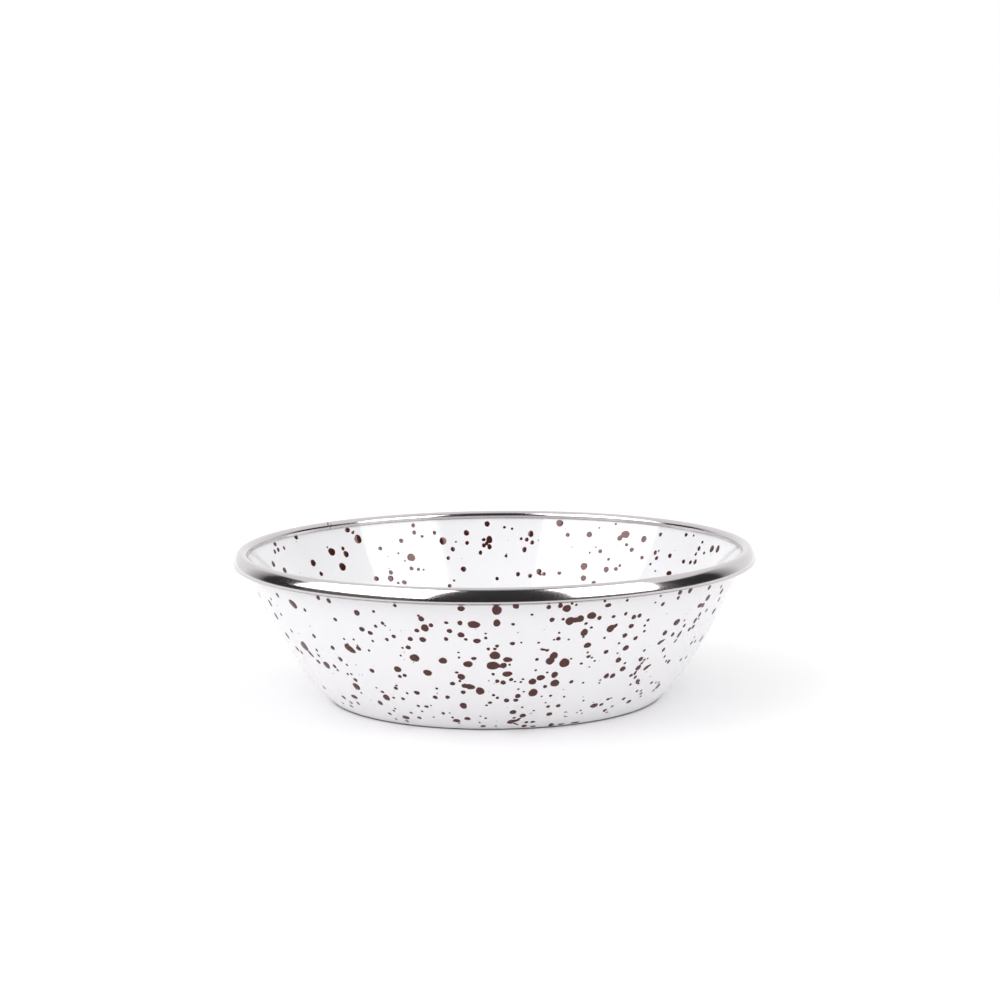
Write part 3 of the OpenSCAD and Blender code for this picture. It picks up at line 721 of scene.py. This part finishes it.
half_gap = np.degrees(SEAM_GAP / fold_c[0]) / 2
band_azimuth = np.linspace(SEAM_AZIMUTH + half_gap, SEAM_AZIMUTH + 360 - half_gap, BAND_SEGMENTS + 1)
band_points = turned(loop[:, 0], loop[:, 1], band_azimuth[:, None])
band_quads = grid_quads(BAND_SEGMENTS + 1, len(loop))
# Each end of the strip is closed by quads from its face to its seat and a fan over the rounded edge
near = np.arange(len(face) - 1)
far = 2 * len(face) - 1 - near
caps = np.column_stack((near, far, far - 1, near + 1))
last = BAND_SEGMENTS * len(loop)
fan = np.arange(2 * len(face) - 1, len(loop))
edge_cap = np.column_stack((np.zeros(len(edge), int), fan[:-1], fan[1:]))
band_caps = np.vstack((caps[:, ::-1], last + caps))
band_edge_caps = np.vstack((edge_cap[:, ::-1], last + edge_cap))
band = closed_piece("stainless_rim", band_points.reshape(-1, 3), np.vstack((band_quads, band_caps)),
                    band_edge_caps, stainless)
band.data.set_sharp_from_angle(angle=np.radians(SHARP_ANGLE))
along_mm = np.radians(band_azimuth - band_azimuth[0]) * fold_c[0]
strip_uv = np.stack(np.broadcast_arrays(along_mm[:, None], across_mm), axis=-1).reshape(-1, 2)
corner_points = np.zeros(len(band.data.loops), int)
band.data.loops.foreach_get("vertex_index", corner_points)
strip_map = band.data.uv_layers.new(name="strip")
strip_map.uv.foreach_set("vector", strip_uv[corner_points].astype(np.float32).ravel())
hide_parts("rim_band")
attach(band, "root")

# The weld: one small spot that ties the strip's two ends together on the rim's inner shoulder.
# It is left as a low round dot, dulled and a little straw-coloured by the heat.
WELD_W = 1.7
WELD_RISE = 0.15
WELD_SLOPE = 55.0
WELD_CORNERS = 24
weld_rings = np.array((.3, .55, .75, .9, .98, 1))
weld_angle = np.linspace(0, 2 * np.pi, WELD_CORNERS, endpoint=False)
weld_across = WELD_W / 2 * weld_rings[:, None] * np.cos(weld_angle)
weld_reach = np.degrees(WELD_W / 2 / SHOULDER.mean())
weld_slope = WELD_SLOPE + weld_reach * weld_rings[:, None] * np.sin(weld_angle)
weld_lift = WELD_RISE * np.sqrt(1 - weld_rings ** 2)
weld_lift[-1] = -SINK_T
weld_out = -(SHOULDER[:, None, None] + weld_lift[:, None]) * outward(weld_slope).transpose(2, 0, 1)
weld_points = turned(shoulder_c[0] + weld_out[0], shoulder_c[1] + weld_out[1],
                     SEAM_AZIMUTH + np.degrees(weld_across / shoulder_c[0]))[None]

# Heat-dulled weld metal: matt grey with a straw tint that deepens at its edge
weld_metal, tree, shader = new_material("heat_dulled_stainless_weld", {"Metallic": 1.0, "Roughness": 0.28})
edge = add_node(tree, "ShaderNodeAttribute", {"attribute_name": "edge_share"})
tint = add_node(tree, "ShaderNodeMapRange", {"From Min": 0.45, "From Max": 0.75},
                {"Value": edge.outputs["Fac"]})
straw = add_node(tree, "ShaderNodeMix", {"data_type": "RGBA", 6: linear("D2CCC2"), 7: linear("2E2722")},
                 {"Factor": tint.outputs["Result"]})
join(tree, shader, {"Base Color": straw.outputs[2]})
weld = splatter("rim_weld_dot", ((weld_points, weld_rings),), weld_metal)
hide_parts("rim_weld")
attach(weld, "root")

# The studio: a plain white table that runs out of sight, one large soft light high on the left and
# a smaller one on the right, white behind and dark where the camera stands.
scene = bpy.context.scene
scene.view_settings.view_transform = "Standard"
FLOOR_REACH = 2500.0
FLOOR_DROP = 0.05
TABLE_FRONT = 560.0
FOOT_R = BASE_D / 2
FOOT_SHADE = 2.0
# White table: matt, with a painted contact shadow in a thin dark ring at the bowl's foot, and a painted
# glow
table_white, tree, shader = new_material("white_table", {
    "Roughness": 0.8, "Specular IOR Level": 0.1, "Emission Color": linear("FFFFFF")})
place = add_node(tree, "ShaderNodeTexCoord")
reach = add_node(tree, "ShaderNodeVectorMath", {"operation": "LENGTH"}, {0: place.outputs["Object"]})
# Painted light: the table glows, faintly near the bowl and more further out, and not in the painted shadow
glow = add_node(tree, "ShaderNodeMapRange",
                {**SMOOTH, "From Min": 0.25, "From Max": 0.9, "To Min": 0.12, "To Max": 0.4},
                {"Value": reach.outputs["Value"]})
open_to_light = add_node(tree, "ShaderNodeMapRange",
                         {**SMOOTH, "From Min": FOOT_R * MM, "From Max": (FOOT_R + FOOT_SHADE) * MM},
                         {"Value": reach.outputs["Value"]})
# Painted contact shadow: dark grey within FOOT_SHADE mm of the foot, white beyond
shade = add_node(tree, "ShaderNodeMix", {"data_type": "RGBA", 6: linear("3A3839"), 7: linear("F2F1F2")},
                 {"Factor": open_to_light.outputs["Result"]})
lit = add_node(tree, "ShaderNodeMath", {"operation": "MULTIPLY"},
               {0: glow.outputs["Result"], 1: open_to_light.outputs["Result"]})
join(tree, shader, {"Base Color": shade.outputs[2], "Emission Strength": lit.outputs["Value"]})
floor_corners = ((-FLOOR_REACH, -TABLE_FRONT), (FLOOR_REACH, -TABLE_FRONT),
                 (FLOOR_REACH, FLOOR_REACH), (-FLOOR_REACH, FLOOR_REACH))
floor_mesh = bpy.data.meshes.new("table")
floor_mesh.from_pydata([(x * MM, y * MM, -FLOOR_DROP * MM) for x, y in floor_corners], [], [(0, 1, 2, 3)])
floor_mesh.materials.append(table_white)
floor = bpy.data.objects.new("table", floor_mesh)
scene.collection.objects.link(floor)

# The lights stand at distances in metres, and their bright faces have one radiance
LIGHT_DISTANCE = 1.22
FACE_DISTANCE = 1.1
FACE_RADIANCE = 5.0


def add_light(name, shape, width, height, watts, spot, facing, mirrored):
    """A flat light at a spot, facing a way. One that is mirrored shows in gloss and lights nothing else;
    the others light the bowl and the table and stay out of its gloss."""
    lamp = bpy.data.lights.new(name, "AREA")
    lamp.shape = shape
    lamp.size = width
    lamp.size_y = height
    lamp.energy = watts
    light = bpy.data.objects.new(name, lamp)
    light.location = spot.tolist()
    light.rotation_euler = Vector(facing).to_track_quat("-Z", "Y").to_euler()
    light.visible_camera = False
    light.visible_glossy = mirrored
    light.visible_diffuse = not mirrored
    scene.collection.objects.link(light)


def soft_light(name, shape, azimuth, elevation, width, height, watts):
    """A light that faces the bowl from an azimuth and an elevation in degrees."""
    rise = np.radians(elevation)
    spot = turned(np.cos(rise), np.sin(rise), azimuth) * LIGHT_DISTANCE
    add_light(name, shape, width, height, watts, spot, -spot, False)


def bright_face(name, azimuth, lean, low, aside, width, height):
    """The bright sheet that the gloss shows for a light. It stands across an azimuth, leans over the
    bowl by an angle from upright, starts at a height and has its middle to one side of that azimuth."""
    out, along = turned(1, 0, azimuth), turned(1, 0, azimuth + 90)
    rise = np.cos(np.radians(lean)) * turned(0, 1, 0) - np.sin(np.radians(lean)) * out
    spot = FACE_DISTANCE * out + low * turned(0, 1, 0) + aside * along + height / 2 * rise
    add_light(name, "RECTANGLE", width, height, FACE_RADIANCE * np.pi * width * height, spot,
              -np.cross(along, rise), True)


soft_light("left_light", "ELLIPSE", azimuth=-63, elevation=42, width=1.45, height=1.15, watts=4.5)
soft_light("right_light", "RECTANGLE", azimuth=57, elevation=38, width=0.84, height=1.04, watts=2.35)
bright_face("left_light_face", azimuth=-64, lean=4, low=0.34, aside=0.075, width=1.41, height=2.1)
bright_face("right_light_face", azimuth=32.5, lean=20, low=0.23, aside=0.435, width=0.87, height=1.13)

# The room. Gloss shows it dark, with a wall behind that brightens inwards from a soft edge and reaches
# further round high up, a little spill beside each light, and a pale ceiling. Other surfaces take a
# plain fill that is stronger from overhead, and the camera sees white.
FILL_LIGHT = 0.54
OVERHEAD_FILL = 1.15
BACKDROP_AZIMUTH = 177.5
SPILL_AZIMUTHS = (-62, 56)
world = bpy.data.worlds.new("white_studio")
scene.world = world
world.use_nodes = True
tree = world.node_tree
tree.nodes.clear()
way = add_node(tree, "ShaderNodeTexCoord")
axes = add_node(tree, "ShaderNodeSeparateXYZ", links={"Vector": way.outputs["Generated"]})
level = add_node(tree, "ShaderNodeVectorMath", {"operation": "MULTIPLY", 1: (1.0, 1.0, 0.0)},
                 {0: way.outputs["Generated"]})
heading = add_node(tree, "ShaderNodeVectorMath", {"operation": "NORMALIZE"}, {0: level.outputs["Vector"]})
backwards = add_node(tree, "ShaderNodeVectorMath",
                     {"operation": "DOT_PRODUCT", 1: turned(1, 0, BACKDROP_AZIMUTH).tolist()},
                     {0: heading.outputs["Vector"]})
high_up = add_node(tree, "ShaderNodeMapRange",
                   {**SMOOTH, "From Min": 0.48, "From Max": 0.6, "To Max": 0.7},
                   {"Value": axes.outputs["Z"]})
spread = add_node(tree, "ShaderNodeMath", {"operation": "ADD"},
                  {0: backwards.outputs["Value"], 1: high_up.outputs["Result"]})
behind = add_node(tree, "ShaderNodeMapRange",
                  {**SMOOTH, "From Min": 0.43, "From Max": 0.5, "To Min": 0.035, "To Max": 0.36},
                  {"Value": spread.outputs["Value"]})
deeper = add_node(tree, "ShaderNodeMapRange", {"From Min": 0.5, "From Max": 0.72, "To Max": 0.7},
                  {"Value": spread.outputs["Value"]})
wall_behind = add_node(tree, "ShaderNodeMath", {"operation": "ADD"},
                       {0: behind.outputs["Result"], 1: deeper.outputs["Result"]})
leftwards, rightwards = (
    add_node(tree, "ShaderNodeVectorMath",
             {"operation": "DOT_PRODUCT", 1: turned(1, 0, azimuth).tolist()},
             {0: heading.outputs["Vector"]}) for azimuth in SPILL_AZIMUTHS)
lightwards = add_node(tree, "ShaderNodeMath", {"operation": "MAXIMUM"},
                      {0: leftwards.outputs["Value"], 1: rightwards.outputs["Value"]})
spill = add_node(tree, "ShaderNodeMapRange",
                 {**SMOOTH, "From Min": 0.8, "From Max": 0.94, "To Max": 0.14},
                 {"Value": lightwards.outputs["Value"]})
sides = add_node(tree, "ShaderNodeMath", {"operation": "MAXIMUM"},
                 {0: wall_behind.outputs["Value"], 1: spill.outputs["Result"]})
overhead = add_node(tree, "ShaderNodeMapRange",
                    {**SMOOTH, "From Min": 0.9, "From Max": 0.98, "To Max": 0.4},
                    {"Value": axes.outputs["Z"]})
room = add_node(tree, "ShaderNodeMath", {"operation": "MAXIMUM"},
                {0: sides.outputs["Value"], 1: overhead.outputs["Result"]})
mirrored_room = add_node(tree, "ShaderNodeBackground", {"Color": linear("FFFFFF")},
                         {"Strength": room.outputs["Value"]})
fill_level = add_node(tree, "ShaderNodeMapRange",
                      {**SMOOTH, "From Min": 0.3, "From Max": 0.95, "To Min": FILL_LIGHT,
                       "To Max": OVERHEAD_FILL}, {"Value": axes.outputs["Z"]})
fill = add_node(tree, "ShaderNodeBackground", {"Color": linear("FFFFFF")},
                {"Strength": fill_level.outputs["Result"]})
backdrop = add_node(tree, "ShaderNodeBackground", {"Color": linear("FFFFFF")})
path = add_node(tree, "ShaderNodeLightPath")
around = add_node(tree, "ShaderNodeMixShader", links={
    0: path.outputs["Is Glossy Ray"], 1: fill.outputs[0], 2: mirrored_room.outputs[0]})
seen = add_node(tree, "ShaderNodeMixShader", links={
    0: path.outputs["Is Camera Ray"], 1: around.outputs[0], 2: backdrop.outputs[0]})
add_node(tree, "ShaderNodeOutputWorld", links={"Surface": seen.outputs[0]})

# The camera: a long lens a little above the rim, turned down and rolled by angles in degrees
CAMERA_MM = (1.86, -700.0, 153.2)
CAMERA_FALL = 7.547
CAMERA_ROLL = -0.577
SENSOR_MM = 36.0
LENS_MM = 82.3
lens = bpy.data.cameras.new("camera")
lens.sensor_width = SENSOR_MM
lens.lens = LENS_MM
camera = bpy.data.objects.new("camera", lens)
camera.location = Vector(CAMERA_MM) * MM
fall = Matrix.Rotation(np.radians(90 - CAMERA_FALL), 3, "X")
roll = Matrix.Rotation(np.radians(CAMERA_ROLL), 3, "Z")
camera.rotation_euler = (fall @ roll).to_euler()
scene.collection.objects.link(camera)
scene.camera = camera
